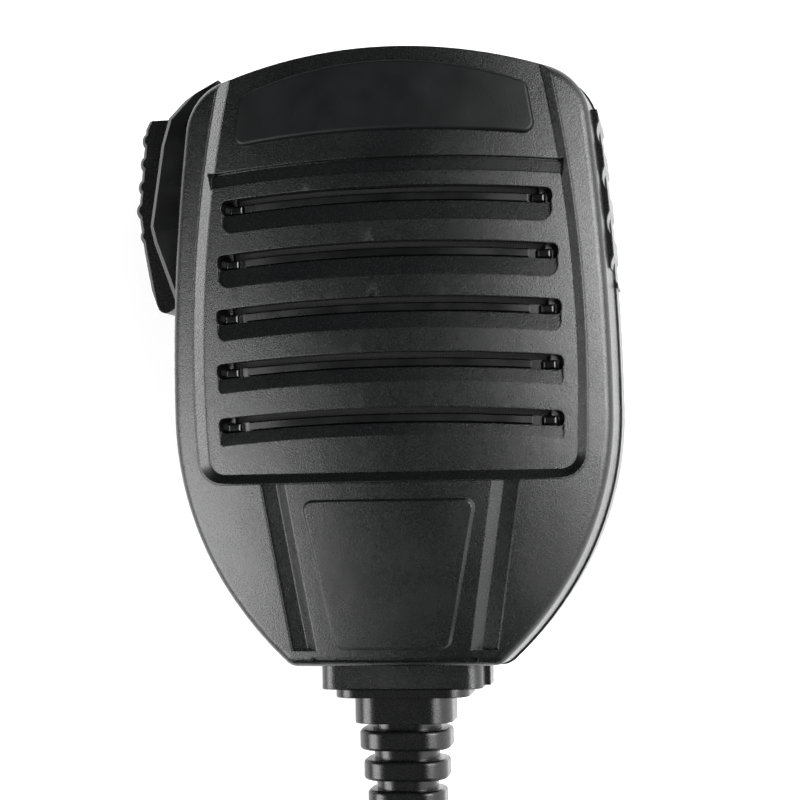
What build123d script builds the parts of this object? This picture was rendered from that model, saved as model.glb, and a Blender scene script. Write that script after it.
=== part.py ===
from build123d import *
import math
import os

# Hand microphone for a mobile radio, lying on its back. Millimetres.
# +X is to the right seen from the front, +Y runs towards the top of the case, +Z comes out of the
# grille. The origin is the centre of the hanger button's outer face, which is the lowest plane.

os.makedirs("parts", exist_ok=True)

# ---- driving dimensions -------------------------------------------------------------------------

# Case, seen from the front
CASE_TOP = 44.8
CASE_SHOULDER = (24.0, 41.0)
CASE_CORNER = (29.9, 33.8)
CASE_WAIST = (32.3, -8.0)
CASE_HIP = (25.2, -32.8)
CASE_FOOT = (15.3, -44.6)
FOOT_RADIUS = 2.8
WALL = 2.0
DRAFT = 3.0

# Levels
Z_BACK = 5.0
Z_PART = 17.0
Z_TOP = 36.0
BACK_WALL = 2.0
REAR_LIP = 0.3
BACK_ROUND = 4.0
FRONT_ROUND = 1.5

# Crown of the front face: a surface of revolution, so depths under it are radii less a depth
CROWN_Z = 32.0
CROWN_Y = 12.0
CROWN_RX = 120.0
CROWN_RY = 400.0
FRONT_WALL = 2.4
LEDGE_DEPTH = 4.0

# Grille panel
PAN_DEPTH = 1.3
PAN_SLOPE = 1.2
PAN_BOTTOM = -16.5
PAN_SIDE_Y = -14.3
PAN_SIDE = 26.7
PANEL_RIM = 1.4
PANEL_RIM_DEPTH = 2.5
PANEL_UNDERSIDE = 3.5
LOUVRE_ZONE = (51.4, -14.0, 27.0)
STEP_Y = 28.2
STEP_FALL = 0.4
STEP_RUN = 2.0

# Keel below the panel: half widths at its top and bottom, and the channels beside it
KEEL_TOP = (14.9, -17.6)
KEEL_FOOT = (11.05, -41.8)
KEEL_WALL = 1.5
KEEL_DEEP = 0.9
CHANNEL_WIDE = 2.3
CHANNEL_STEP = 0.5

# Slots of the grille
SLOT_TOP = 24.05
SLOT_PITCH = 7.85
SLOT_COUNT = 5
SLOT_HALF = (24.0, 24.7, 25.0, 25.1, 25.0)
SLOT_OPEN = 2.2
SLOT_SLOPE = 2.6
SLOT_SLOPE_DEPTH = 0.65
SLOT_CORNER = 0.95
SLOPE_CORNER = 1.7
BOW_RADIUS = 310.0

# Baffle behind the slots
BAFFLE_TOP = 3.55
BAFFLE_THICK = 1.0
BAR_GAP = 0.8
BAR_HEIGHT = 1.25
BAR_DEPTH = 2.3
BAR_HALF = 20.8
SCREEN_DEPTH = 4.6
SCREEN_THICK = 0.4

# Push-to-talk key on the left
PTT_PIVOT = (-26.5, 32.5)
PTT_PIN_R = 1.0
PTT_BORE_R = 1.05
PTT_BARREL_R = 2.4
PTT_PIN_TOP = 25.8
PTT_LOW = 9.4
PTT_HIGH = 24.6
PTT_OPENING = (7.4, 37.0)
PTT_OPENING_LOW = 9.1
PTT_OPENING_HIGH = 24.95
GRIP_LOW = 9.5
GRIP_HIGH = 20.6

# Wavy finger grip on the right flank
STRIP_SUNK = 0.8
STRIP_PROUD = 0.55
STRIP_DIPS = (31.6, 25.1, 18.6, 12.1)
STRIP_DIP_R = 3.4

# Inside
PCB_LOW = 14.0
PCB_THICK = 1.6
SWITCH = (-18.5, 14.0)
SWITCH_Z = 18.8
PLUNGER_R = 1.2
MIC_Y = 10.0
BOSSES = ((-17.0, 36.4), (17.0, 36.4), (-20.0, -27.0), (20.0, -27.0))
PCB_SCREWS = ((-19.0, 29.0), (19.0, 29.0), (-19.0, -18.5), (19.0, -18.5))

# Strain relief and cord
AXIS_Z = 17.0
NECK_END = -47.9
BOOT_INNER = -40.8
RINGS = 6
RING_PITCH = 4.4
RING_LONG = 2.9
BOOT_TIP = -83.0
STUB_END = -32.2
CORD_D = 4.8
CURL_D = 13.0
TAIL_ROUTE = (
    (0.0, -83.0, 17.0),
    (0.0, -95.0, 17.0),
    (-3.4, -108.5, 12.6),
    (-10.2, -120.0, 6.6),
    (-17.0, -131.0, 2.9),
    (-20.0, -143.5, 2.4),
    (-20.0, -155.0, 2.4),
)
CURL_ROUTE = (
    (-20.0, -155.0, 6.5),
    (-20.0, -178.0, 6.5),
    (-19.4, -204.0, 6.5),
    (-17.9, -227.2, 6.5),
    (-5.3, -240.0, 6.5),
    (12.3, -240.0, 6.5),
    (24.9, -227.2, 6.5),
    (26.3, -202.5, 6.5),
    (27.2, -169.0, 6.5),
    (27.2, -135.0, 6.5),
)
LEAD_ROUTE = (
    (27.2, -135.0, 2.4),
    (27.2, -125.5, 2.4),
    (27.0, -115.5, 3.9),
    (27.0, -106.0, 3.9),
)

# Modular plug
PLUG_BOOT = 11.0
PLUG_LONG = 21.5
PLUG_HALF = 5.85
PLUG_LOW = 0.6
PLUG_HIGH = 7.2
CONTACTS = 8
CONTACT_PITCH = 1.02
LATCH_HINGE_Z = 7.3
LATCH_BARREL_R = 0.6
LATCH_HALF = 2.4
LATCH_LONG = 13.1

# ---- helpers ------------------------------------------------------------------------------------

def save(name, shape):
    """Write one node and print what it holds."""
    shape.label = name
    export_step(shape, f"parts/{name}.step")
    print(f"{name:20s} {len(shape.solids()):3d} solids {shape.volume:10.2f} mm3")


def block(x0, x1, y0, y1, z0, z1):
    """Box between two corners."""
    size = Box(x1 - x0, y1 - y0, z1 - z0)
    return Pos((x0 + x1) / 2, (y0 + y1) / 2, (z0 + z1) / 2) * size


def rod(x, y, z0, z1, radius):
    """Upright cylinder from z0 to z1."""
    return Pos(x, y, (z0 + z1) / 2) * Cylinder(radius, z1 - z0)


def prism(shape, z0, z1):
    """A face of the XY plane, raised from z0 to z1."""
    return extrude(Pos(0, 0, z0) * shape, z1 - z0, dir=(0, 0, 1))


def drafted(shape, z0, z1):
    """The same for an outline that is symmetric about x = 0, with its sides leaning in."""
    body = extrude(shape.face(), z1 - z0, taper=DRAFT)
    if body.center().Z < 0:
        body = Rot(0, 180, 0) * body
    return Pos(0, 0, z0) * body


def mirrored_face(edges):
    """Face bounded by edges that run down the right side from x = 0 to x = 0, and their mirror."""
    right = Wire(edges)
    left = mirror(right, about=Plane.YZ)
    return make_face(Wire(right.edges() + left.edges()))


def crown(depth):
    """Everything under the crowned front surface lowered by depth."""
    centre_z = CROWN_Z - CROWN_RY
    radius = CROWN_RY - depth
    reach = 75.0
    near = CROWN_Y - reach
    far = CROWN_Y + reach
    edge_z = centre_z + math.sqrt(radius**2 - reach**2)
    floor_z = -30.0
    top = ThreePointArc((0, near, edge_z), (0, CROWN_Y, centre_z + radius), (0, far, edge_z))
    sides = Polyline((0, far, edge_z), (0, far, floor_z), (0, near, floor_z), (0, near, edge_z))
    section = make_face(Wire(top.edges() + sides.edges()))
    axis = Axis((0, 0, CROWN_Z - CROWN_RX), (0, 1, 0))
    return revolve(section.rotate(axis, -30), axis, revolution_arc=60)


def slab(face, shallow, deep):
    """The part of a face's prism between two depths under the crown."""
    return (prism(face, Z_PART, Z_TOP) & crown(shallow)) - crown(deep)


def crown_z(x, y, depth=0.0):
    """Height of the crowned surface over a point."""
    arc = CROWN_Z - CROWN_RY + math.sqrt((CROWN_RY - depth) ** 2 - (y - CROWN_Y) ** 2)
    swing = arc - (CROWN_Z - CROWN_RX)
    return CROWN_Z - CROWN_RX + math.sqrt(swing**2 - x**2)


def bow_at(x):
    """How far a slot has dropped at a distance from the middle."""
    return x**2 / (2 * BOW_RADIUS)


def bowed(points, y, half_width, depth):
    """Sweep a section along an arc that follows the crown and bows upwards in the middle.

    The section's points are (along Y, under the surface), counted from (y, surface at depth)."""
    z = crown_z(0, y, depth)
    bow = bow_at(half_width)
    drop = z - crown_z(half_width, y - bow, depth)
    sagitta = math.hypot(bow, drop)
    radius = (half_width**2 + sagitta**2) / (2 * sagitta)
    inwards = Vector(0, -bow, -drop) / sagitta
    centre = Vector(0, y, z) + inwards * radius
    axis = Axis(centre, Vector(0, -drop, bow))
    angle = math.degrees(math.asin(half_width / radius))
    section = make_face(Polyline(*[(0, y + u, z - w) for u, w in points], close=True))
    return revolve(section.rotate(axis, -angle), axis, revolution_arc=2 * angle)


def rounded(width, height, radius):
    """Rounded rectangle in the XY plane."""
    return RectangleRounded(width, height, radius).face()


def across(face, y0, y1):
    """A face drawn as (x, z), carried along Y from y0 to y1, centred on the cord's axis."""
    plane = Plane(origin=(0, y0, AXIS_Z), x_dir=(1, 0, 0), z_dir=(0, -1, 0))
    return extrude(plane * face, y0 - y1)


def corner_radii(points):
    """The largest radius for each corner of a cord's route, from the shorter run beside it."""
    spots = [Vector(*p) for p in points]
    radii = []
    for before, here, after in zip(spots, spots[1:], spots[2:]):
        run_in = here - before
        run_out = after - here
        turn = math.radians(run_in.get_angle(run_out))
        radii.append(0.45 * min(run_in.length, run_out.length) / math.tan(turn / 2))
    return radii


def cord(name, points, diameter):
    """A tube of straight runs and tangent arcs along a route."""
    radii = corner_radii(points)
    path = FilletPolyline(*points, radius=radii)
    start = Plane(origin=path @ 0, z_dir=path % 0)
    tube = sweep(start * Circle(diameter / 2), path=path)
    expected = math.pi * diameter**2 / 4 * path.length
    print(name, "radii", [round(r, 1) for r in radii], "length", round(path.length, 1))
    print(name, "volume over section times length", round(tube.volume / expected, 4))
    return tube


# ---- outlines -----------------------------------------------------------------------------------

def case_outline():
    """The case at its parting plane."""
    top = TangentArc((0, CASE_TOP), CASE_SHOULDER, tangent=(1, 0))
    corner = TangentArc(CASE_SHOULDER, CASE_CORNER, tangent=top % 1)
    flank = TangentArc(CASE_CORNER, CASE_WAIST, tangent=corner % 1)
    hip = TangentArc(CASE_WAIST, CASE_HIP, tangent=flank % 1)
    chin = TangentArc(CASE_HIP, CASE_FOOT, tangent=hip % 1)
    foot = Line(CASE_FOOT, (0, CASE_FOOT[1]))
    face = mirrored_face([e for part in (top, corner, flank, hip, chin, foot) for e in part.edges()])
    feet = [v for v in face.vertices() if abs(abs(v.X) - CASE_FOOT[0]) < 0.01]
    return fillet(feet, FOOT_RADIUS)


def pan_outline():
    """The sunk field of the grille panel, open at the top of the case."""
    side = ThreePointArc((20.9, 48.0), (26.45, 14.0), (PAN_SIDE, PAN_SIDE_Y))
    bend_x = PAN_SIDE - (PAN_SIDE_Y - PAN_BOTTOM)
    bend = TangentArc((PAN_SIDE, PAN_SIDE_Y), (bend_x, PAN_BOTTOM), tangent=side % 1)
    bottom = Line((bend_x, PAN_BOTTOM), (0, PAN_BOTTOM))
    top = Line((0, 48.0), (20.9, 48.0))
    return mirrored_face([e for part in (top, side, bend, bottom) for e in part.edges()])


outline = case_outline()
rear_outline = offset(outline, REAR_LIP)
inner_outline = offset(outline, -WALL)
pan = pan_outline()
panel_edge = offset(pan, PANEL_RIM)

louvre_width, louvre_low, louvre_high = LOUVRE_ZONE
louvre_field = Pos(0, (louvre_low + louvre_high) / 2) * rounded(
    louvre_width, louvre_high - louvre_low, 3.0
)


# ---- front case ---------------------------------------------------------------------------------

def front_blank():
    """The front shell's outside with sharp edges."""
    return drafted(outline, Z_PART, Z_TOP) & crown(0)


def front_body():
    """The front shell's outside, before anything is cut from it."""
    blank = front_blank()
    crown_face = blank.faces().sort_by(Axis.Z)[-1]
    return fillet(crown_face.edges(), FRONT_ROUND)


def flank_x(y):
    """Half width of the case over its upper flank."""
    return CASE_WAIST[0] - 2.4 * ((y - CASE_WAIST[1]) / 42.0) ** 2


def side_strip(z0, z1, y0, y1):
    """Wavy finger grip let into the right flank."""
    inner = offset(outline, -STRIP_SUNK)
    skin = offset(outline, STRIP_PROUD)
    for y in STRIP_DIPS:
        skin -= Pos(flank_x(y) + STRIP_DIP_R + 0.05, y) * Circle(STRIP_DIP_R)
    strip = prism(skin, z0, z1) - prism(inner, z0 - 1, z1 + 1)
    return strip & block(20, 45, y0, y1, z0, z1)


def channel(side):
    """Cutter of the groove beside the keel: the keel's sloping wall, then a floor that rises outwards."""
    sections = []
    for share in (0.0, 0.5, 1.0):
        x = KEEL_TOP[0] + share * (KEEL_FOOT[0] - KEEL_TOP[0])
        y = KEEL_TOP[1] + share * (KEEL_FOOT[1] - KEEL_TOP[1])
        outer = KEEL_WALL + CHANNEL_WIDE
        profile = [(0, -1.5), (0, 0), (KEEL_WALL, KEEL_DEEP), (outer, CHANNEL_STEP), (outer + 0.15, -1.5)]
        corners = [(side * (x + dx), y, crown_z(x + dx, y, depth)) for dx, depth in profile]
        sections.append(make_face(Polyline(*corners, close=True)))
    return loft(sections)


def boot_hole(clearance):
    """Passage for the strain relief's waist."""
    return across(rounded(11.6 + 2 * clearance, 8.4 + 2 * clearance, 2.5), -40.0, -60.0)


def front_case(body, grip):
    shell = body - (drafted(inner_outline, Z_PART - 0.01, Z_TOP) & crown(FRONT_WALL))
    ledge = slab(offset(panel_edge, 1.6), FRONT_WALL - 0.2, LEDGE_DEPTH)
    ledge &= drafted(offset(outline, -0.8), Z_PART, Z_TOP)
    shell += ledge
    for x, y in BOSSES:
        shell += rod(x, y, Z_PART + 0.1, crown_z(x, y, FRONT_WALL), 3.2)
        shell -= rod(x, y, Z_PART, Z_PART + 5.2, 2.1)
    x, y = PTT_PIVOT
    shell += rod(x, y, PTT_OPENING_HIGH, crown_z(x, y, FRONT_WALL), 2.5) & body
    for side in (-1, 1):
        shell -= channel(side)
    shell -= slab(panel_edge, -3.0, PANEL_RIM_DEPTH)
    shell -= prism(offset(louvre_field, 0.2), Z_PART - 2, Z_TOP)
    lip_groove = Pos(0, -43.1) * rounded(24.0, 0.6, 0.25)
    shell -= slab(lip_groove, -2.0, 0.8)
    field = make_face(
        Polyline((-12.6, -20.3), (12.6, -20.3), (8.2, -41.6), (-8.2, -41.6), close=True)
    )
    field = fillet(field.vertices(), 1.4)
    plateau = slab(field, -0.4, 1.0)
    upper = plateau.faces().sort_by(Axis.Z)[-1]
    shell += chamfer(upper.edges(), 0.35)
    neck = block(-11.8, 11.8, NECK_END, -43.4, Z_PART, 22.8)
    neck = fillet(neck.edges().filter_by(Axis.Y).group_by(Axis.Z)[-1], 2.2)
    shell += neck
    low, high = PTT_OPENING
    shell -= block(-45, -22.6, low, high, Z_PART - 1, PTT_OPENING_HIGH)
    shell -= rod(x, y, PTT_OPENING_HIGH - 1, PTT_PIN_TOP, PTT_PIN_R)
    shell -= boot_hole(0.0)
    return shell - grip


# ---- grille panel and what is behind it -----------------------------------------------------------

def slot_tops():
    return [SLOT_TOP - SLOT_PITCH * i for i in range(SLOT_COUNT)]


def slot_face(top, half, high, corner):
    """Outline of one slot: a bowed band with rounded corners."""
    ends = top - bow_at(half)
    upper = ThreePointArc((-half, ends), (0, top), (half, ends))
    lower = ThreePointArc((half, ends - high), (0, top - high), (-half, ends - high))
    right = Line((half, ends), (half, ends - high))
    left = Line((-half, ends - high), (-half, ends))
    face = make_face(Wire([e for part in (upper, right, lower, left) for e in part.edges()]))
    return fillet(face.vertices(), corner)


def on_brim(spot):
    """Whether a point is on the upper edge of the panel's sunk field, away from its open end."""
    flat = Vertex(spot.X, spot.Y, 0)
    beside = pan.face().outer_wire().distance_to(flat) < 0.25
    return beside and spot.Y < 30.0 and abs(spot.Z - crown_z(spot.X, spot.Y)) < 0.05


def grille_panel(body):
    panel = (prism(panel_edge, Z_PART, Z_TOP) & front_blank()) - crown(PANEL_RIM_DEPTH)
    panel -= slab(pan, -3.0, PAN_DEPTH)
    panel = chamfer([e for e in panel.edges() if on_brim(e.center())], PAN_SLOPE) & body
    panel += slab(louvre_field, PAN_DEPTH, PANEL_UNDERSIDE)
    step = [(0, -2), (0, STEP_FALL), (-STEP_RUN, 0), (-STEP_RUN - 2, -2)]
    panel -= bowed(step, STEP_Y, 25.6, PAN_DEPTH)
    groove = [(0.02, -1), (0.02, 0.9), (-0.3, 0.9), (-0.3, -1)]
    panel -= bowed(groove, STEP_Y, 25.6, PAN_DEPTH)
    for top, half in zip(slot_tops(), SLOT_HALF):
        panel -= prism(slot_face(top, half, SLOT_OPEN, SLOT_CORNER), Z_PART, Z_TOP)
        start = 0.4 - SLOT_OPEN
        lip = -SLOT_OPEN - SLOT_SLOPE
        ramp = [
            (start, -1),
            (start, SLOT_SLOPE_DEPTH),
            (-SLOT_OPEN, SLOT_SLOPE_DEPTH),
            (lip, 0),
            (lip - 1.6, -1),
        ]
        recess = slot_face(top, half - 0.1, SLOT_OPEN + SLOT_SLOPE, SLOPE_CORNER)
        panel -= bowed(ramp, top, half + 0.5, PAN_DEPTH) & prism(recess, Z_PART, Z_TOP)
    return panel


def name_plate():
    """Blank raised plate at the top of the panel."""
    lower = ThreePointArc((-22.0, 30.7), (0, 32.0), (22.0, 30.7))
    right = Line((22.0, 30.7), (20.8, 38.2))
    upper = ThreePointArc((20.8, 38.2), (0, 42.1), (-20.8, 38.2))
    left = Line((-20.8, 38.2), (-22.0, 30.7))
    face = make_face(Wire([e for part in (lower, right, upper, left) for e in part.edges()]))
    face = fillet(face.vertices(), 1.5)
    plate = slab(face, PAN_DEPTH - 0.75, PAN_DEPTH)
    return fillet(plate.faces().sort_by(Axis.Z)[-1].edges(), 0.5)


def grille_baffle():
    field = offset(louvre_field, -0.1)
    plate = slab(field, BAFFLE_TOP, BAFFLE_TOP + BAFFLE_THICK)
    for top, half in zip(slot_tops(), SLOT_HALF):
        gap = [(0.4, 1.8), (0.4, 5), (-BAR_GAP, 5), (-BAR_GAP, 1.8)]
        plate -= bowed(gap, top, half - 1.5, PAN_DEPTH)
        high = -BAR_GAP - 0.05
        low = high - BAR_HEIGHT
        crest = BAR_DEPTH - PAN_DEPTH
        bar = [
            (high - 0.15, crest),
            (high, crest + 0.2),
            (high, 2.6),
            (low, 2.6),
            (low, crest + 0.2),
            (low + 0.15, crest),
        ]
        plate += bowed(bar, top, BAR_HALF, PAN_DEPTH)
        for side in (-1, 1):
            x = side * (half - 2.1)
            y = top - bow_at(x) - 1.45
            pad = Box(2.0, 1.3, 1.6)
            pad = fillet(pad.faces().sort_by(Axis.Z)[-1].edges(), 0.4)
            plate += Pos(x, y, crown_z(x, y, BAR_DEPTH + 0.9)) * pad
    return plate


# ---- rear case ----------------------------------------------------------------------------------

def rear_shell():
    body = prism(rear_outline, Z_BACK, Z_PART)
    body = fillet(body.faces().sort_by(Axis.Z)[0].edges(), BACK_ROUND)
    cavity = prism(inner_outline, Z_BACK + BACK_WALL, Z_PART + 1)
    cavity = fillet(cavity.faces().sort_by(Axis.Z)[0].edges(), 2.0)
    return body, cavity


def key_ledge():
    """Shoulder of the rear case under the push-to-talk key."""
    lower = [(-30.0, 3.6), (-33.6, 6.4), (-35.6, 9.6)]
    upper = [(-37.6, 22.5), (-36.4, 34.6), (-30.0, 39.0)]
    face = make_face(Polyline(*lower, *upper, close=True))
    face = fillet(face.vertices(), 1.5)
    ledge = prism(face, Z_BACK + 0.8, 8.0)
    return fillet(ledge.faces().sort_by(Axis.Z)[0].edges(), 0.9)


def rear_case(grip):
    body, cavity = rear_shell()
    shell = (body + key_ledge()) - cavity
    low, high = PTT_OPENING
    shell -= block(-45, -22.6, low, high, PTT_OPENING_LOW, Z_PART + 1)
    neck = block(-12.5, 12.5, NECK_END, -43.2, 10.4, Z_PART)
    shell += fillet(neck.edges().filter_by(Axis.Y).group_by(Axis.Z)[0], 2.6)
    for x, y in BOSSES:
        shell += rod(x, y, Z_BACK + 1, Z_PART, 3.6)
        shell -= rod(x, y, Z_BACK - 1, Z_BACK + 3.0, 2.6)
        shell -= rod(x, y, Z_BACK, Z_PART + 1, 1.25)
    for x, y in PCB_SCREWS:
        shell += rod(x, y, Z_BACK + 1, PCB_LOW, 2.3)
        shell -= rod(x, y, PCB_LOW - 5, PCB_LOW + 1, 0.9)
    x, y = PTT_PIVOT
    shell += rod(x, y, Z_BACK + 1.5, PTT_OPENING_LOW, 2.5)
    shell -= rod(x, y, PTT_OPENING_LOW - 1.8, PTT_OPENING_LOW + 1, PTT_PIN_R)
    shell += block(-24.0, -22.5, 19.0, 25.0, Z_BACK + 1, Z_PART - 0.4)
    saddle = block(-8.0, 8.0, -38.4, -33.4, Z_BACK + 1, AXIS_Z)
    shell += saddle
    groove = across(Circle(CORD_D / 2).face(), -30.0, -42.0)
    shell -= groove
    for x in (-5.6, 5.6):
        shell -= rod(x, -35.9, AXIS_Z - 6, AXIS_Z + 1, 1.0)
    shell -= boot_hole(0.0)
    rim = prism(offset(outline, -1.0), Z_PART - 0.6, Z_PART)
    rim -= prism(offset(outline, -1.6), Z_PART - 1, Z_PART + 1)
    seal = rim - block(-45, -20, low - 1.5, high + 1.5, 0, 40) - block(-13.6, 13.6, -60, -40, 0, 40)
    shell -= seal
    shell -= rod(0, 0, Z_BACK - 1, Z_BACK + BACK_WALL + 1, 1.6)
    shell -= Pos(0, -21.5, Z_BACK) * Box(30.0, 15.0, 0.7)
    return shell - grip, seal


# ---- push-to-talk key -----------------------------------------------------------------------------

def key_outer_edge():
    """Outside of the smooth key, from its tip at the top of the case to its lower end."""
    return [
        (-25.0, 41.6),
        (-30.2, 38.9),
        (-32.7, 36.4),
        (-33.9, 32.4),
        (-35.8, 20.4),
        (-35.2, 17.8),
        (-32.0, 8.8),
    ]


def ptt_key():
    edge = key_outer_edge()
    inside = [(-29.2, 8.8), (-28.6, 20.0), (-29.0, 33.0), (-30.4, 34.6), (-28.9, 37.3), (-26.6, 39.7)]
    face = make_face(Polyline(*edge, *inside, close=True))
    clear = offset(outline, 0.35)
    low, high = PTT_OPENING
    corner = clear - Pos(-36.0, (low + high - 0.6) / 2) * Rectangle(20.0, high - 0.6 - low)
    face = (face - corner).face()
    shell = prism(face, PTT_LOW, PTT_HIGH)
    bevel = [
        e for e in shell.edges().group_by(Axis.Z)[-1]
        if e.center().X < -31.0 and e.center().Y > 9.0
    ]
    x, y = PTT_PIVOT
    bar = [(x - 0.8, y + 2.3), (-30.6, 35.0), (-30.6, 27.0), (-28.0, 27.0), (x - 0.2, y - 2.3)]
    arm = make_face(Polyline(*bar, close=True))
    outer = [(-33.2, 31.6), (-34.6, 20.2), (-31.6, 10.6)]
    inner = [(-30.8, 10.6), (-30.2, 20.0), (-30.4, 31.6)]
    hollow = make_face(Polyline(*outer, *inner, close=True))
    key = chamfer(bevel, 0.6)
    key -= prism(hollow, PTT_LOW - 1, PTT_HIGH - 2.0)
    key += prism(arm, PTT_LOW, PTT_HIGH)
    key += rod(x, y, PTT_LOW, PTT_HIGH, PTT_BARREL_R)
    sx, sy = SWITCH
    key += block(-29.6, sx - 5.2, sy - 1.3, sy + 1.3, SWITCH_Z - 1.6, SWITCH_Z + 1.6)
    key -= rod(x, y, PTT_LOW - 1, PTT_HIGH + 1, PTT_BORE_R)
    return key


def ptt_grip(key):
    """Ribbed rubber on the outside of the key."""
    back = [(-32.4, 9.0), (-35.0, 18.0), (-35.6, 20.4), (-33.8, 32.6), (-33.0, 35.4), (-33.0, 36.8)]
    front = [(-36.8, 36.8), (-37.4, 35.6), (-38.7, 23.0), (-37.9, 17.0), (-36.9, 11.4), (-35.3, 7.3)]
    face = make_face(Polyline(*front, *back, close=True))
    face = fillet([v for v in face.vertices() if v.X < -37 and v.Y > 37 or v.Y < 8], 1.2)
    grip = face
    crests = [(-36.5, 33.8), (-36.85, 30.3), (-37.2, 26.8), (-37.55, 23.3), (-37.0, 19.5), (-36.1, 15.9)]
    for x, y in crests:
        grip += Pos(x, y) * Circle(1.5)
    solid = prism(grip.face(), GRIP_LOW, GRIP_HIGH)
    ends = [e for e in solid.edges().group_by(Axis.Z)[-1] if e.center().X < -36.5]
    solid = chamfer(ends, 0.5)
    return solid - key


# ---- strain relief ------------------------------------------------------------------------------

def strain_relief_boot():
    boot = across(rounded(15.0, 11.0, 3.0), BOOT_INNER, -42.3)
    boot += across(rounded(11.6, 8.4, 2.5), -42.3, NECK_END)
    boot += across(rounded(19.6, 12.4, 3.0), NECK_END, -49.1)
    collar = across(rounded(14.4, 11.4, 3.4), -49.1, -52.9)
    boot += collar
    for i in range(RINGS):
        width = 13.4 - 1.0 * i
        height = width * 0.8
        start = -54.0 - RING_PITCH * i
        ring = across(rounded(width, height, height * 0.36), start, start - RING_LONG)
        ends = ring.faces().filter_by(Axis.Y)
        boot += fillet(ends.edges(), 0.5)
    core = loft(
        [
            Plane(origin=(0, -52.9, AXIS_Z), x_dir=(1, 0, 0), z_dir=(0, -1, 0)) * rounded(10.0, 8.4, 3.2),
            Plane(origin=(0, BOOT_TIP, AXIS_Z), x_dir=(1, 0, 0), z_dir=(0, -1, 0)) * rounded(6.4, 6.2, 2.9),
        ]
    )
    boot += core
    return boot


def cord_clamp():
    """Bridge over the cord, with its two screws' holes."""
    bridge = block(-8.0, 8.0, -38.0, -33.8, AXIS_Z + 0.4, AXIS_Z + 4.2)
    bridge = fillet(bridge.edges().filter_by(Axis.Y).group_by(Axis.Z)[-1], 1.0)
    bridge -= across(Circle(CORD_D / 2).face(), -30.0, -42.0)
    for x in (-5.6, 5.6):
        bridge -= rod(x, -35.9, AXIS_Z - 1, AXIS_Z + 6, 1.2)
    return bridge


# ---- fasteners ----------------------------------------------------------------------------------

def screw(x, y, head_z, length, shank, head, head_high, up=True):
    """Pan-head screw with a cross recess; its shank runs up or down from the head's seat."""
    way = 1 if up else -1
    low, high = sorted((0.0, way * length))
    body = rod(0, 0, low, high, shank)
    low, high = sorted((0.0, -way * head_high))
    cap = rod(0, 0, low, high, head)
    far = cap.edges().filter_by(GeomType.CIRCLE).sort_by(Axis.Z)[0 if up else -1]
    cap = fillet(far, head_high * 0.35)
    recess = Box(head * 1.1, head * 0.28, 1.2) + Box(head * 0.28, head * 1.1, 1.2)
    cap -= Pos(0, 0, -way * head_high) * recess
    return Pos(x, y, head_z) * (body + cap)


def grouped(solids):
    return Compound(children=[s if isinstance(s, Solid) else s.solid() for s in solids])


def case_screws():
    return grouped([screw(x, y, Z_BACK + 3.0, 13.6, 1.25, 2.4, 1.7) for x, y in BOSSES])


def threaded_inserts():
    rings = []
    for x, y in BOSSES:
        ring = rod(x, y, Z_PART + 0.2, Z_PART + 5.0, 2.1)
        ring -= rod(x, y, Z_PART, Z_PART + 6.0, 1.25)
        rings.append(ring)
    return grouped(rings)


def pcb_screws():
    top = PCB_LOW + PCB_THICK
    return grouped([screw(x, y, top, 5.2, 0.9, 1.8, 1.2, up=False) for x, y in PCB_SCREWS])


def clamp_screws():
    seat = AXIS_Z + 4.2
    return grouped([screw(x, -35.9, seat, 8.6, 1.0, 1.9, 1.2, up=False) for x in (-5.6, 5.6)])


# ---- electronics ----------------------------------------------------------------------------------

def main_pcb():
    board = block(-22.2, 22.2, -22.4, 32.6, PCB_LOW, PCB_LOW + PCB_THICK)
    board = fillet(board.edges().filter_by(Axis.Z), 1.5)
    for x, y in PCB_SCREWS:
        board -= rod(x, y, PCB_LOW - 1, PCB_LOW + 3, 1.05)
    for x in (-1.27, 1.27):
        board -= rod(x, MIC_Y, PCB_LOW - 1, PCB_LOW + 3, 0.5)
    return board


def switch_body():
    x, y = SWITCH
    top = PCB_LOW + PCB_THICK
    body = block(x - 3.0, x + 3.0, y - 3.75, y + 3.75, top, top + 6.2)
    body = chamfer(body.edges().group_by(Axis.Z)[-1], 0.4)
    return body - Pos(x - 1.6, y, SWITCH_Z) * Rot(0, 90, 0) * Cylinder(PLUNGER_R + 0.05, 3.4)


def switch_plunger():
    x, y = SWITCH
    stem = Pos(x - 3.3, y, SWITCH_Z) * Rot(0, 90, 0) * Cylinder(PLUNGER_R, 3.2)
    return fillet(stem.edges().sort_by(Axis.X)[0], 0.35)


def mic_capsule():
    can = rod(0, MIC_Y, 19.0, 25.2, 4.85)
    can = fillet(can.edges().filter_by(GeomType.CIRCLE).sort_by(Axis.Z)[-1], 0.6)
    for i in range(7):
        angle = math.radians(60 * i)
        reach = 0.0 if i == 6 else 2.1
        can -= rod(reach * math.cos(angle), MIC_Y + reach * math.sin(angle), 24.7, 26.0, 0.55)
    return can


def mic_boot():
    cup = rod(0, MIC_Y, 17.6, 26.3, 6.6)
    cup = fillet(cup.edges().filter_by(GeomType.CIRCLE).sort_by(Axis.Z)[0], 0.8)
    cup -= rod(0, MIC_Y, 19.0, 27.0, 4.85)
    for x in (-1.27, 1.27):
        cup -= rod(x, MIC_Y, 17.0, 20.0, 0.35)
    return cup


def mic_leads():
    return grouped([rod(x, MIC_Y, PCB_LOW - 0.6, 19.0, 0.35) for x in (-1.27, 1.27)])


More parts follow.
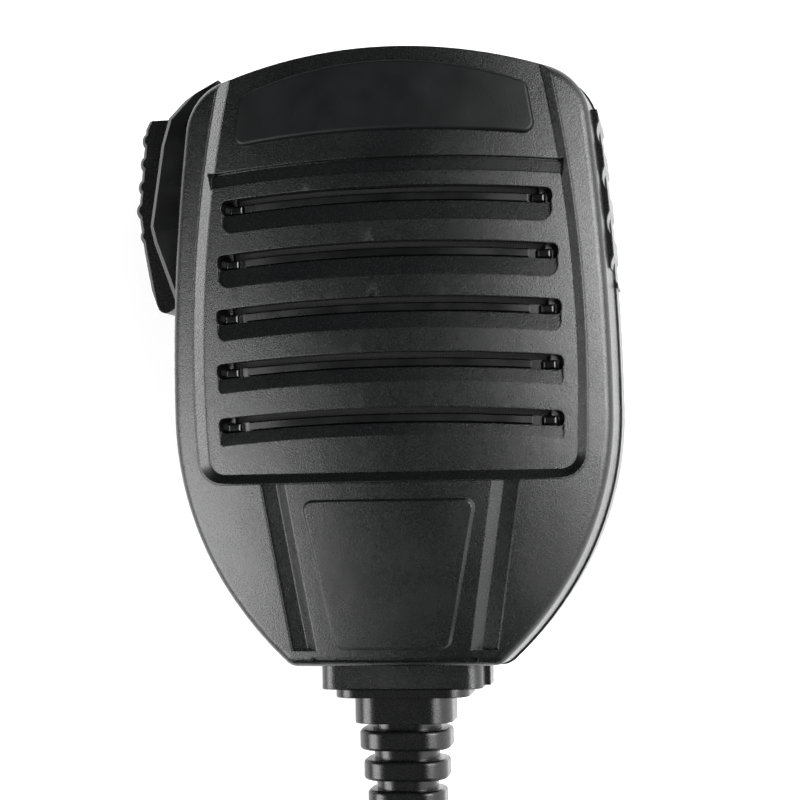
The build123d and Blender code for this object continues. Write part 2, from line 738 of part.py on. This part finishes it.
def chip_parts():
    """Surface-mounted parts on the board's upper side."""
    top = PCB_LOW + PCB_THICK
    places = (
        (-9.0, 22.0, 7.0, 5.0, 1.4),
        (8.0, 24.0, 5.0, 4.0, 1.2),
        (14.0, 12.0, 3.2, 1.6, 0.7),
        (14.0, 9.0, 3.2, 1.6, 0.7),
        (14.0, 6.0, 3.2, 1.6, 0.7),
        (-10.0, -4.0, 2.0, 1.2, 0.6),
        (-13.0, -4.0, 2.0, 1.2, 0.6),
        (-10.0, -8.0, 2.0, 1.2, 0.6),
        (-13.0, -8.0, 2.0, 1.2, 0.6),
        (16.0, 18.0, 2.0, 1.2, 0.6),
    )
    return grouped([block(x, x + w, y, y + d, top, top + h) for x, y, w, d, h in places])


def capacitor():
    top = PCB_LOW + PCB_THICK
    can = rod(11.0, -9.0, top, top + 7.0, 2.5)
    return fillet(can.edges().filter_by(GeomType.CIRCLE).sort_by(Axis.Z)[-1], 0.4)


def cord_header():
    """Open-topped pin header for the cord's wires, with its six pins."""
    top = PCB_LOW + PCB_THICK
    shroud = block(-9.0, 9.0, -21.0, -14.6, top, top + 4.6)
    shroud -= block(-8.2, 8.2, -20.2, -15.4, top + 1.0, top + 6.0)
    return shroud


def header_pins():
    top = PCB_LOW + PCB_THICK
    pins = [block(x - 0.3, x + 0.3, -18.1, -17.5, top + 1.0, top + 4.0) for x in wire_places()]
    return grouped(pins)


def wire_places():
    return [-6.25 + 2.5 * i for i in range(6)]


def cord_socket():
    top = PCB_LOW + PCB_THICK
    socket = block(-8.0, 8.0, -20.0, -15.6, top + 1.1, top + 6.4)
    for x in wire_places():
        socket -= block(x - 0.3, x + 0.3, -18.1, -17.5, top, top + 4.1)
    return socket


def cord_stub():
    """The jacketed end of the cord inside the case, from the strain relief to past its clamp."""
    return across(Circle(CORD_D / 2).face(), BOOT_INNER, STUB_END)


def inner_wires():
    """Six thin wires that fan out from the jacket's end to the socket."""
    wires = []
    radius = 0.42
    for i, x in enumerate(wire_places()):
        root_x = 0.72 * (i - 2.5)
        root_z = AXIS_Z + 0.3 * (-1) ** i
        entry_z = AXIS_Z + 3.8
        root = [(root_x, STUB_END, root_z), (root_x, -29.6, root_z)]
        points = [*root, (x, -23.6, entry_z), (x, -20.0, entry_z)]
        path = FilletPolyline(*points, radius=[round(r, 2) for r in corner_radii(points)])
        plane = Plane(origin=path @ 0, z_dir=path % 0)
        wires.append(sweep(plane * Circle(radius), path=path))
    return grouped(wires)


# ---- hanger -------------------------------------------------------------------------------------

def hanger_button():
    button = rod(0, 0, 0, 2.0, 7.5)
    button = fillet(button.edges().filter_by(GeomType.CIRCLE), 0.5)
    button += rod(0, 0, 1.9, Z_BACK, 3.6)
    return button - rod(0, 0, 1.2, Z_BACK + 1, 1.5)


def hanger_washer():
    ring = rod(0, 0, Z_BACK + BACK_WALL, Z_BACK + BACK_WALL + 0.8, 5.0)
    return ring - rod(0, 0, Z_BACK, Z_BACK + 5, 1.6)


def hanger_screw():
    return screw(0, 0, Z_BACK + BACK_WALL + 0.8, 6.4, 1.5, 2.8, 1.8, up=False)


# ---- return spring and pivot ----------------------------------------------------------------------

def ptt_spring():
    """Coil between the key's hollow and the rear case's post."""
    coil = Helix(pitch=1.0, height=4.0, radius=1.7)
    section = Plane(origin=coil @ 0, z_dir=coil % 0) * Circle(0.22)
    spring = sweep(section, path=coil, is_frenet=True)
    return Pos(-28.3, 22.0, 12.6) * Rot(0, 90, 0) * spring


def ptt_pivot_pin():
    x, y = PTT_PIVOT
    pin = rod(x, y, PTT_OPENING_LOW - 1.8, PTT_PIN_TOP, PTT_PIN_R)
    return chamfer(pin.edges().filter_by(GeomType.CIRCLE), 0.2)


# ---- plug ---------------------------------------------------------------------------------------

def plug_parts():
    """Modular plug at the lead's end, pointing along +Y: its boot, body, contacts and latch."""
    x, entry, z = LEAD_ROUTE[-1]
    base = Plane(origin=(x, entry, z), x_dir=(1, 0, 0), z_dir=(0, 1, 0))
    sleeve = loft([base * Circle(3.2).face(), base.offset(PLUG_BOOT) * rounded(10.0, 6.6, 2.4)])
    back = entry + PLUG_BOOT
    tip = back + PLUG_LONG
    body = block(x - PLUG_HALF, x + PLUG_HALF, back, tip, PLUG_LOW, PLUG_HIGH)
    body = chamfer(body.edges().group_by(Axis.Y)[-1], 0.5)
    blades = []
    for i in range(CONTACTS):
        bx = x + (i - (CONTACTS - 1) / 2) * CONTACT_PITCH
        body -= block(bx - 0.26, bx + 0.26, tip - 6.0, tip + 1, 0.0, 3.2)
        blades.append(block(bx - 0.16, bx + 0.16, tip - 5.6, tip - 0.5, 0.9, 3.0))
    body -= block(x - 2.8, x + 2.8, back - 1, tip + 1, PLUG_HIGH - 0.6, PLUG_HIGH + 1)
    hinge = tip - 1.9
    tail = hinge - LATCH_LONG
    side = Polyline(
        (hinge, LATCH_HINGE_Z - 0.2),
        (hinge, LATCH_HINGE_Z + LATCH_BARREL_R),
        (tail, 10.6),
        (tail, 9.9),
        close=True,
    )
    blade = extrude(Plane.YZ.offset(x - LATCH_HALF) * make_face(side), 2 * LATCH_HALF, dir=(1, 0, 0))
    barrel = Pos(x, hinge, LATCH_HINGE_Z) * Rot(0, 90, 0) * Cylinder(LATCH_BARREL_R, 2 * LATCH_HALF)
    return sleeve, body, grouped(blades), blade + barrel


# ---- build --------------------------------------------------------------------------------------

body = front_body()
grip_front = side_strip(Z_PART, 23.0, 12.0, 34.8)
grip_rear = side_strip(9.5, Z_PART, 9.6, 34.2)
save("side_grip_front", grip_front)
save("side_grip_rear", grip_rear)
save("front_case", front_case(body, grip_front))
save("grille_panel", grille_panel(body))
save("name_plate", name_plate())
save("grille_baffle", grille_baffle())
screen_field = Pos(0, 5.6) * rounded(50.0, 37.0, 2.0)
save("dust_screen", slab(screen_field, SCREEN_DEPTH, SCREEN_DEPTH + SCREEN_THICK))

rear, gasket = rear_case(grip_rear)
save("rear_case", rear)
save("case_gasket", gasket)
save("rear_label", Pos(0, -21.5, Z_BACK + 0.2) * Box(29.8, 14.8, 0.3))

key = ptt_key()
save("ptt_key", key)
save("ptt_grip", ptt_grip(key))
save("ptt_pivot_pin", ptt_pivot_pin())
save("ptt_spring", ptt_spring())
save("ptt_switch", switch_body())
save("switch_plunger", switch_plunger())

save("main_pcb", main_pcb())
save("mic_capsule", mic_capsule())
save("mic_boot", mic_boot())
save("mic_leads", mic_leads())
save("chip_parts", chip_parts())
save("capacitor", capacitor())
save("cord_header", cord_header())
save("header_pins", header_pins())
save("cord_socket", cord_socket())
save("inner_wires", inner_wires())
save("cord_stub", cord_stub())
save("cord_clamp", cord_clamp())

save("case_screws", case_screws())
save("threaded_inserts", threaded_inserts())
save("pcb_screws", pcb_screws())
save("clamp_screws", clamp_screws())
save("hanger_button", hanger_button())
save("hanger_washer", hanger_washer())
save("hanger_screw", hanger_screw())

save("strain_relief_boot", strain_relief_boot())
save("cord_tail", cord("cord_tail", TAIL_ROUTE, CORD_D))
save("cord_curl", cord("cord_curl", CURL_ROUTE, CURL_D))
save("cord_lead", cord("cord_lead", LEAD_ROUTE, CORD_D))
plug_boot, plug_body, plug_contacts, plug_latch = plug_parts()
save("plug_boot", plug_boot)
save("plug_body", plug_body)
save("plug_contacts", plug_contacts)
save("plug_latch", plug_latch)
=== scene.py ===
import math

import bpy
from mathutils import Matrix, Vector


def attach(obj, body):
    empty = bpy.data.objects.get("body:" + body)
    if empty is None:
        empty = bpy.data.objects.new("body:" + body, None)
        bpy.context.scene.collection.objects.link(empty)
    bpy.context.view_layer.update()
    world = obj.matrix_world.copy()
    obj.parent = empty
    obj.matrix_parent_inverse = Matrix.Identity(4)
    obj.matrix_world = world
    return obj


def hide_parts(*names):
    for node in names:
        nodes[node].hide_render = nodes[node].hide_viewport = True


# Looks of a hand microphone that lies on its back. Metres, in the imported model's frame: +Y runs
# towards the top of the case, +Z comes out of the grille, and the bench is at z = 0.

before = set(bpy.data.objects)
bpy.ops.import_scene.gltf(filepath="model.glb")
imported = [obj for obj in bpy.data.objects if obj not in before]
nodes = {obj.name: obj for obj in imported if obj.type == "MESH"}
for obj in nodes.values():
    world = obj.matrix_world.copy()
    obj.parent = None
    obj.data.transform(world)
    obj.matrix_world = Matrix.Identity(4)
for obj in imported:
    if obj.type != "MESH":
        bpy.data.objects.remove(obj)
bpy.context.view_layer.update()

# ---- sizes --------------------------------------------------------------------------------------

# Camera
CAMERA_YAW = 9.3
CAMERA_PITCH = -2.0
CAMERA_ROLL = -1.15
CAMERA_DISTANCE = 0.280
CAMERA_TARGET = (0.0004, -0.006, 0.020)
CAMERA_LENS = 86.06
SENSOR = 36.0

# Light: the room darkens upwards, to the left, and towards both ends of the microphone
WORLD_STRENGTH = 2.4
WORLD_LEAN = (-0.48, -0.10, 0.90)
WORLD_ENDS = 0.80
WORLD_DARK_FROM = 0.75
WORLD_DARK = 0.02
LIGHT_TARGET = (0.0, 0.0, 0.02)
LIGHTS = {
    "left": ((-0.38, -0.15, 0.33), 0.33, 3.5),
    "right": ((0.32, 0.05, 0.38), 0.29, 3.9),
}

# Bench
BENCH_HALF = 1.6
BENCH_WHITE = (0.93, 0.93, 0.93)
BENCH_GLOW = 0.16

# Cord: the tail, the curled length and the lead to the plug, as control points
CORD_D = 0.0048
CURL_RADIUS = 0.0041
CURL_PITCH = 0.00535
CURL_GAP = 0.0050
CURL_STEPS = 14
CURL_LEAD_IN = 0.015
CURL_OPENS = 2.4
TAIL_ROUTE = (
    (0.0, -0.083, 0.017),
    (0.0, -0.095, 0.017),
    (-0.0034, -0.1085, 0.0126),
    (-0.0102, -0.120, 0.0066),
    (-0.017, -0.131, 0.0029),
    (-0.020, -0.1435, 0.0024),
)
CURL_ROUTE = (
    (-0.020, -0.155, 0.0024),
    (-0.020, -0.178, 0.0024),
    (-0.0194, -0.204, 0.0024),
    (-0.0179, -0.2272, 0.0024),
    (-0.0053, -0.240, 0.0024),
    (0.0123, -0.240, 0.0024),
    (0.0249, -0.2272, 0.0024),
    (0.0263, -0.2025, 0.0024),
    (0.0272, -0.169, 0.0024),
    (0.0272, -0.135, 0.0024),
)
LEAD_ROUTE = (
    (0.0272, -0.1255, 0.0024),
    (0.027, -0.1155, 0.0039),
    (0.027, -0.106, 0.0039),
)

# ---- shader helpers -----------------------------------------------------------------------------


class Shader:
    """A material under construction, with short calls for the nodes that it uses."""

    def __init__(self, name, colour, roughness, metallic=0.0):
        self.material = bpy.data.materials.new(name)
        self.material.use_nodes = True
        self.tree = self.material.node_tree
        self.tree.nodes.clear()
        self.output = self.tree.nodes.new("ShaderNodeOutputMaterial")
        self.shader = self.tree.nodes.new("ShaderNodeBsdfPrincipled")
        self.link(self.shader.outputs[0], self.output.inputs["Surface"])
        self.shader.inputs["Base Color"].default_value = (*colour, 1.0)
        self.shader.inputs["Roughness"].default_value = roughness
        self.shader.inputs["Metallic"].default_value = metallic
        self.place = self.tree.nodes.new("ShaderNodeTexCoord").outputs["Object"]
        self.normal = None

    def link(self, output, socket):
        self.tree.links.new(output, socket)

    def stretched(self, scale):
        """The object's coordinates, stretched."""
        mapping = self.tree.nodes.new("ShaderNodeMapping")
        mapping.inputs["Scale"].default_value = scale
        self.link(self.place, mapping.inputs["Vector"])
        return mapping.outputs[0]

    def noise(self, size, detail=2.0, rough=0.5, place=None):
        """Noise whose grains are about that size, from 0 to 1."""
        node = self.tree.nodes.new("ShaderNodeTexNoise")
        node.inputs["Scale"].default_value = 1.0 / size
        node.inputs["Detail"].default_value = detail
        node.inputs["Roughness"].default_value = rough
        self.link(place or self.place, node.inputs["Vector"])
        return node.outputs["Fac"]

    def cells(self, size, place=None, feature="F1"):
        """Distance to the centre of the nearest cell of about that size."""
        node = self.tree.nodes.new("ShaderNodeTexVoronoi")
        node.feature = feature
        node.inputs["Scale"].default_value = 1.0 / size
        self.link(place or self.place, node.inputs["Vector"])
        return node.outputs["Distance"]

    def spread(self, value, low, high, to_low=0.0, to_high=1.0):
        """value, from low..high to to_low..to_high, clamped."""
        node = self.tree.nodes.new("ShaderNodeMapRange")
        node.inputs["From Min"].default_value = low
        node.inputs["From Max"].default_value = high
        node.inputs["To Min"].default_value = to_low
        node.inputs["To Max"].default_value = to_high
        self.link(value, node.inputs["Value"])
        return node.outputs[0]

    def sums(self, operation, a, b):
        """One arithmetic step between values or numbers."""
        node = self.tree.nodes.new("ShaderNodeMath")
        node.operation = operation
        for socket, value in zip(node.inputs, (a, b)):
            if isinstance(value, (int, float)):
                socket.default_value = value
            else:
                self.link(value, socket)
        return node.outputs[0]

    def mixed(self, fac, a, b):
        """Colour a where fac is 0, and b where it is 1."""
        node = self.tree.nodes.new("ShaderNodeMix")
        node.data_type = "RGBA"
        self.link(fac, node.inputs["Factor"])
        for socket, value in ((node.inputs["A"], a), (node.inputs["B"], b)):
            if isinstance(value, tuple):
                socket.default_value = (*value, 1.0)
            else:
                self.link(value, socket)
        return node.outputs["Result"]

    def rounded_edges(self, radius):
        """Edges shade as if they had that radius."""
        node = self.tree.nodes.new("ShaderNodeBevel")
        node.samples = 4
        node.inputs["Radius"].default_value = radius
        self.normal = node.outputs[0]

    def bump(self, height, distance, strength=1.0):
        """Raise the surface by height times distance."""
        node = self.tree.nodes.new("ShaderNodeBump")
        node.inputs["Distance"].default_value = distance
        node.inputs["Strength"].default_value = strength
        self.link(height, node.inputs["Height"])
        if self.normal is not None:
            self.link(self.normal, node.inputs["Normal"])
        self.normal = node.outputs[0]

    def colour(self, value):
        self.link(value, self.shader.inputs["Base Color"])

    def roughness(self, value):
        self.link(value, self.shader.inputs["Roughness"])

    def done(self):
        if self.normal is not None:
            self.link(self.normal, self.shader.inputs["Normal"])
        return self.material


# ---- materials ----------------------------------------------------------------------------------

SPARK_GRAIN = 0.00020
EDGE = 0.00022
BRUSH_MARKS = (40.0, 900.0, 900.0)


def spark_eroded(name, colour, roughness, depth):
    """Moulded plastic with the fine pits of a spark-eroded mould."""
    s = Shader(name, colour, roughness)
    cloud = s.noise(0.011, 3.0)
    grain = s.noise(SPARK_GRAIN, 3.0, 0.65)
    lighter = tuple(c * 2.0 + 0.006 for c in colour)
    s.colour(s.mixed(s.spread(grain, 0.55, 0.80), colour, lighter))
    wear = s.sums("ADD", s.spread(cloud, 0.3, 0.7, -0.03, 0.04), s.spread(grain, 0.3, 0.7, -0.05, 0.05))
    s.roughness(s.sums("ADD", wear, roughness))
    s.rounded_edges(EDGE)
    s.bump(grain, depth)
    s.bump(s.noise(0.004, 2.0), 0.00003)
    s.shader.inputs["Specular IOR Level"].default_value = 0.5
    return s.done()


def moulded(name, colour, roughness, grain=0.0002, depth=0.000004, shine=0.5):
    """Smooth moulded plastic, with slight flow marks and finger shine."""
    s = Shader(name, colour, roughness)
    cloud = s.noise(0.006, 3.0)
    s.colour(s.mixed(s.spread(cloud, 0.35, 0.75), colour, tuple(c * 1.25 for c in colour)))
    s.roughness(s.spread(cloud, 0.3, 0.7, roughness - 0.05, roughness + 0.06))
    s.rounded_edges(EDGE * 0.7)
    s.bump(s.noise(grain, 2.0), depth)
    s.shader.inputs["Specular IOR Level"].default_value = shine
    return s.done()


def rubber(name, colour, roughness):
    """Soft moulded rubber with dust in its pores."""
    s = Shader(name, colour, roughness)
    pores = s.noise(0.00018, 3.0, 0.6)
    dust = s.spread(s.noise(0.003, 4.0, 0.6), 0.55, 0.85)
    s.colour(s.mixed(dust, colour, tuple(c * 1.8 + 0.002 for c in colour)))
    s.roughness(s.spread(pores, 0.3, 0.7, roughness - 0.06, roughness + 0.08))
    s.rounded_edges(EDGE)
    s.bump(pores, 0.000012)
    s.shader.inputs["Specular IOR Level"].default_value = 0.42
    return s.done()


def metal(name, colour, roughness):
    """Drawn or turned metal with fine marks along X."""
    s = Shader(name, colour, roughness, 1.0)
    marks = s.noise(1.0, 3.0, 0.6, s.stretched(BRUSH_MARKS))
    s.colour(s.mixed(s.spread(s.noise(0.0015, 3.0), 0.4, 0.8), colour, tuple(c * 0.78 for c in colour)))
    s.roughness(s.spread(marks, 0.3, 0.7, roughness - 0.08, roughness + 0.1))
    s.bump(marks, 0.000006)
    return s.done()


def woven(name, colour, pitch):
    """Fine cloth with crossing threads."""
    s = Shader(name, colour, 0.85)
    waves = []
    for direction in ("X", "Y"):
        node = s.tree.nodes.new("ShaderNodeTexWave")
        node.bands_direction = direction
        node.inputs["Scale"].default_value = 0.32 / pitch
        s.link(s.place, node.inputs["Vector"])
        waves.append(node.outputs["Fac"])
    threads = s.sums("MULTIPLY", waves[0], waves[1])
    s.colour(s.mixed(threads, tuple(c * 0.4 for c in colour), tuple(c * 2.2 for c in colour)))
    s.bump(threads, 0.00005)
    s.shader.inputs["Sheen Weight"].default_value = 0.2
    return s.done()


def circuit_board(name):
    """Green solder mask over faint copper tracks."""
    s = Shader(name, (0.012, 0.11, 0.035), 0.32)
    tracks = s.cells(0.0022, s.stretched((1.0, 1.0, 0.0)), "DISTANCE_TO_EDGE")
    copper = s.spread(tracks, 0.05, 0.07, 1.0, 0.0)
    s.colour(s.mixed(copper, (0.010, 0.095, 0.03), (0.02, 0.18, 0.05)))
    s.roughness(s.spread(s.noise(0.002, 2.0), 0.3, 0.7, 0.26, 0.4))
    s.bump(copper, 0.00003)
    return s.done()


def clear_plastic(name):
    """Clear polycarbonate, a little smoky, with flow marks."""
    s = Shader(name, (0.86, 0.88, 0.9), 0.12)
    flow = s.noise(1.0, 3.0, 0.5, s.stretched((300.0, 60.0, 300.0)))
    s.roughness(s.spread(flow, 0.3, 0.7, 0.06, 0.2))
    s.bump(flow, 0.00002)
    s.shader.inputs["Transmission Weight"].default_value = 0.85
    s.shader.inputs["IOR"].default_value = 1.58
    return s.done()


MATERIALS = {
    "black_case": spark_eroded("case_plastic", (0.0022, 0.0024, 0.0026), 0.265, 0.000038),
    "black_panel": spark_eroded("panel_plastic", (0.0022, 0.0024, 0.0026), 0.265, 0.000038),
    "black_key": moulded("key_plastic", (0.0014, 0.0015, 0.0017), 0.26),
    "black_rubber": rubber("grip_rubber", (0.0016, 0.0017, 0.0018), 0.27),
    "plate_black": moulded("plate_plastic", (0.0030, 0.0032, 0.0035), 0.40, 0.0002, 0.000016, 0.20),
    "dust_cloth": woven("dust_cloth", (0.006, 0.006, 0.0065), 0.0004),
    "steel": metal("zinc_plate", (0.55, 0.55, 0.56), 0.3),
    "spring_steel": metal("spring_steel", (0.42, 0.42, 0.43), 0.28),
    "brass": metal("turned_brass", (0.72, 0.50, 0.20), 0.25),
    "capsule_metal": metal("capsule_can", (0.72, 0.72, 0.73), 0.25),
    "board": circuit_board("solder_mask"),
    "chip_black": moulded("chip_epoxy", (0.02, 0.02, 0.021), 0.5, 0.00012, 0.000008),
    "capacitor_sleeve": moulded("capacitor_sleeve", (0.014, 0.024, 0.085), 0.3),
    "switch_plastic": moulded("switch_plastic", (0.03, 0.03, 0.031), 0.45),
    "plunger_plastic": moulded("plunger_plastic", (0.58, 0.57, 0.54), 0.4),
    "header_plastic": moulded("natural_nylon", (0.72, 0.69, 0.62), 0.42),
    "tin": metal("tin_plate", (0.72, 0.72, 0.73), 0.3),
    "wire_insulation": moulded("wire_insulation", (0.34, 0.03, 0.025), 0.4),
    "cord_black": moulded("cord_jacket", (0.0018, 0.0019, 0.0021), 0.26),
    "label_grey": moulded("label_foil", (0.30, 0.30, 0.31), 0.38),
    "plug_clear": clear_plastic("plug_plastic"),
    "gold": metal("gold_plate", (0.83, 0.60, 0.22), 0.2),
}


def finish_nodes():
    """Every CAD node takes the shader of its record slot."""
    for node in nodes.values():
        for slot in node.material_slots:
            slot.material = MATERIALS[slot.material.name]


# ---- cord ---------------------------------------------------------------------------------------

def spline_curve(name, points, thickness):
    """A smooth curve with these control points. The order follows the points, or it stays straight."""
    curve = bpy.data.curves.new(name, "CURVE")
    curve.dimensions = "3D"
    curve.bevel_depth = thickness / 2
    curve.bevel_resolution = 4
    curve.use_fill_caps = True
    spline = curve.splines.new("NURBS")
    spline.points.add(len(points) - 1)
    for point, place in zip(spline.points, points):
        point.co = (*place, 1.0)
    spline.order_u = 3
    spline.use_endpoint_u = True
    spline.resolution_u = 6
    thing = bpy.data.objects.new(name, curve)
    bpy.context.scene.collection.objects.link(thing)
    return thing


def line_of(points):
    """Points along the smooth curve of a route, as its own mesh gives them."""
    guide = spline_curve("guide", points, 0.0)
    guide.data.splines[0].resolution_u = 24
    mesh = bpy.data.meshes.new_from_object(guide)
    line = [v.co.copy() for v in mesh.vertices]
    bpy.data.objects.remove(guide)
    bpy.data.meshes.remove(mesh)
    return line


def walk(line, step):
    """Places a step apart along a line."""
    found = []
    gone = 0.0
    due = 0.0
    for a, b in zip(line, line[1:]):
        run = (b - a).length
        while run > 0 and due <= gone + run:
            found.append(a.lerp(b, (due - gone) / run))
            due += step
        gone += run
    return found


def helix(route):
    """The turns of the curly length.

    They open where the cord bends, so that no turn sits in the next, and at both ends, where the
    turns widen out of the straight cord."""
    step = CURL_PITCH / CURL_STEPS
    places = walk(line_of(route), step)
    last = len(places) - 1
    reach = CURL_STEPS // 2
    turn = 0.0
    turns = []
    eases = []
    for i, here in enumerate(places):
        before = places[max(i - reach, 0)]
        after = places[min(i + reach, last)]
        bend = (here - before).angle(after - here, 0.0) / (reach * step)
        pitch = max(CURL_PITCH, CURL_GAP / (1.0 - CURL_RADIUS * bend))
        ease = min(1.0, i * step / CURL_LEAD_IN, (last - i) * step / CURL_LEAD_IN)
        turns.append(turn)
        eases.append(ease * ease * (3 - 2 * ease))
        turn += step / pitch / (1 + CURL_OPENS * (1 - eases[-1]))
    whole = round(turn)
    wide = CURL_RADIUS / (0.75 + 0.25 * math.cos(math.tau / CURL_STEPS))
    points = []
    for i in range(1, last):
        radius = wide * eases[i]
        side = (places[i] - places[i - 1]).cross(Vector((0, 0, 1))).normalized()
        angle = math.tau * turns[i] * whole / turn
        lift = Vector((0, 0, radius * (1 - math.cos(angle))))
        points.append(places[i] + side * (radius * math.sin(angle)) + lift)
    return points


def make_cord():
    """One length of cord from the strain relief to the plug."""
    route = [*map(Vector, TAIL_ROUTE), *helix(CURL_ROUTE), *map(Vector, LEAD_ROUTE)]
    cord = spline_curve("cord", route, CORD_D)
    cord.data.materials.append(MATERIALS["cord_black"])
    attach(cord, "case")
    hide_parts("cord_tail", "cord_curl", "cord_lead")


# ---- camera, light and bench --------------------------------------------------------------------

def make_camera():
    """The camera looks down on the face, a little from the right and from above."""
    yaw = math.radians(CAMERA_YAW)
    pitch = math.radians(CAMERA_PITCH)
    roll = math.radians(CAMERA_ROLL)
    back = Vector((math.sin(yaw) * math.cos(pitch), math.sin(pitch), math.cos(yaw) * math.cos(pitch)))
    level = Vector((0, 1, 0)).cross(back).normalized()
    upright = back.cross(level)
    right = level * math.cos(roll) + upright * math.sin(roll)
    up = upright * math.cos(roll) - level * math.sin(roll)
    data = bpy.data.cameras.new("camera")
    data.lens = CAMERA_LENS
    data.sensor_width = SENSOR
    data.clip_start = 0.01
    camera = bpy.data.objects.new("camera", data)
    turn = Matrix((right, up, back)).transposed().to_4x4()
    camera.matrix_world = Matrix.Translation(Vector(CAMERA_TARGET) + back * CAMERA_DISTANCE) @ turn
    bpy.context.scene.collection.objects.link(camera)
    bpy.context.scene.camera = camera


def soft_box(name, place, size, power):
    """A square soft box that shines at the microphone."""
    data = bpy.data.lights.new(name, "AREA")
    data.shape = "RECTANGLE"
    data.size = size
    data.size_y = size
    data.energy = power
    light = bpy.data.objects.new(name, data)
    light.location = place
    light.rotation_euler = (Vector(LIGHT_TARGET) - Vector(place)).to_track_quat("-Z", "Y").to_euler()
    bpy.context.scene.collection.objects.link(light)


def make_world():
    """A room that is white low down at the right, and dark overhead and past both ends."""
    world = bpy.data.worlds.new("studio")
    world.use_nodes = True
    tree = world.node_tree
    background = tree.nodes["Background"]
    place = tree.nodes.new("ShaderNodeTexCoord")
    folded = tree.nodes.new("ShaderNodeVectorMath")
    folded.operation = "MULTIPLY"
    lean = tree.nodes.new("ShaderNodeVectorMath")
    lean.operation = "DOT_PRODUCT"
    lean.inputs[1].default_value = WORLD_LEAN
    along = tree.nodes.new("ShaderNodeVectorMath")
    along.operation = "DOT_PRODUCT"
    along.inputs[1].default_value = (0.0, WORLD_ENDS, 0.0)
    both = tree.nodes.new("ShaderNodeMath")
    ramp = tree.nodes.new("ShaderNodeValToRGB")
    tree.links.new(place.outputs["Generated"], folded.inputs[0])
    tree.links.new(place.outputs["Generated"], folded.inputs[1])
    tree.links.new(place.outputs["Generated"], lean.inputs[0])
    tree.links.new(folded.outputs["Vector"], along.inputs[0])
    tree.links.new(lean.outputs["Value"], both.inputs[0])
    tree.links.new(along.outputs["Value"], both.inputs[1])
    tree.links.new(both.outputs[0], ramp.inputs["Fac"])
    tree.links.new(ramp.outputs["Color"], background.inputs["Color"])
    steps = ramp.color_ramp.elements
    steps[0].position = 0.0
    steps[0].color = (1.0, 1.0, 1.0, 1.0)
    steps[1].position = WORLD_DARK_FROM
    steps[1].color = (WORLD_DARK, WORLD_DARK, WORLD_DARK, 1.0)
    background.inputs["Strength"].default_value = WORLD_STRENGTH
    bpy.context.scene.world = world


def make_bench():
    """A wide white sheet under the microphone."""
    half = BENCH_HALF
    mesh = bpy.data.meshes.new("bench")
    corners = [(-half, -half, 0), (half, -half, 0), (half, half, 0), (-half, half, 0)]
    mesh.from_pydata(corners, [], [(0, 1, 2, 3)])
    bench = bpy.data.objects.new("bench", mesh)
    s = Shader("paper", BENCH_WHITE, 0.8)
    s.roughness(s.spread(s.noise(0.003, 2.0), 0.3, 0.7, 0.75, 0.85))
    s.shader.inputs["Emission Color"].default_value = (1.0, 1.0, 1.0, 1.0)
    s.shader.inputs["Emission Strength"].default_value = BENCH_GLOW
    mesh.materials.append(s.done())
    bpy.context.scene.collection.objects.link(bench)


make_camera()
make_cord()
finish_nodes()
make_world()
make_bench()
for name, (place, size, power) in LIGHTS.items():
    soft_box(name, place, size, power)
bpy.context.scene.view_settings.view_transform = "Standard"
